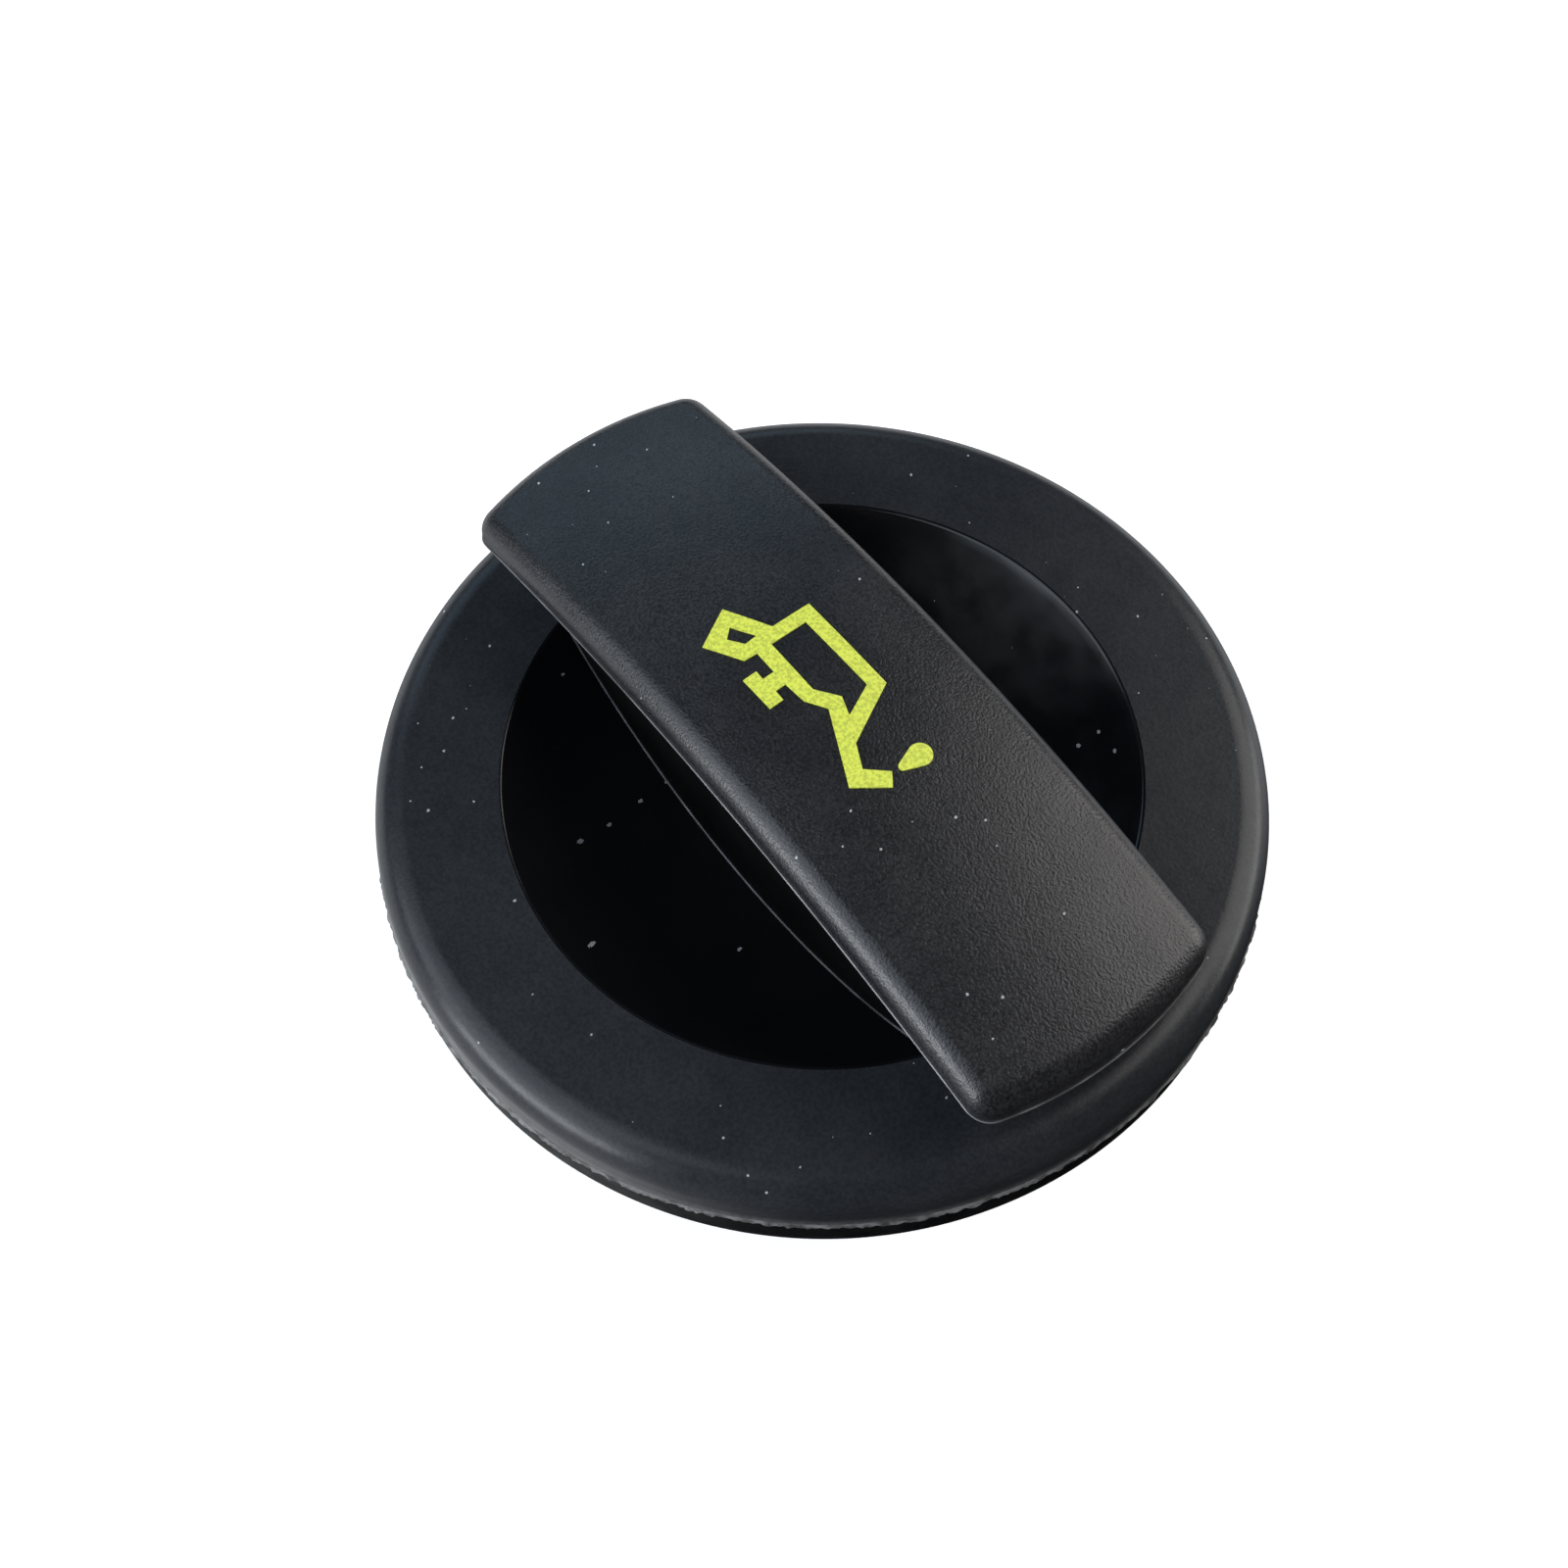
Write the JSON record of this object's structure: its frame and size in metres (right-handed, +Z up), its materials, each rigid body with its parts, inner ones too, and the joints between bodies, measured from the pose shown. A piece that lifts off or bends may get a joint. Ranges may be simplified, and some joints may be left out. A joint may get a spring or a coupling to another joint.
{
  "type": "oil filler cap",
  "caption": "Round black filler cap with an arched bar handle across a shallow dish, a bayonet plug and a rubber sealing ring underneath.",
  "frame": {"origin": "on the cap's axis, at the plug's lower end", "axes": "+Z up along the cap's axis, towards the handle's top; X along the handle, Y across it"},
  "size_m": [0.0767, 0.0766, 0.0374],
  "materials": {
    "upper_moulding": "fine mould grain on the bar, smoother dish and ring",
    "lower_moulding": "as moulded",
    "seal": "smooth rubber",
    "print": "printed ink"
  },
  "bodies": {
    "root": {"grip_cap": "upper_moulding", "bayonet_plug": "lower_moulding", "sealing_ring": "seal", "oil_can_print": "print"}
  },
  "joints": []
}
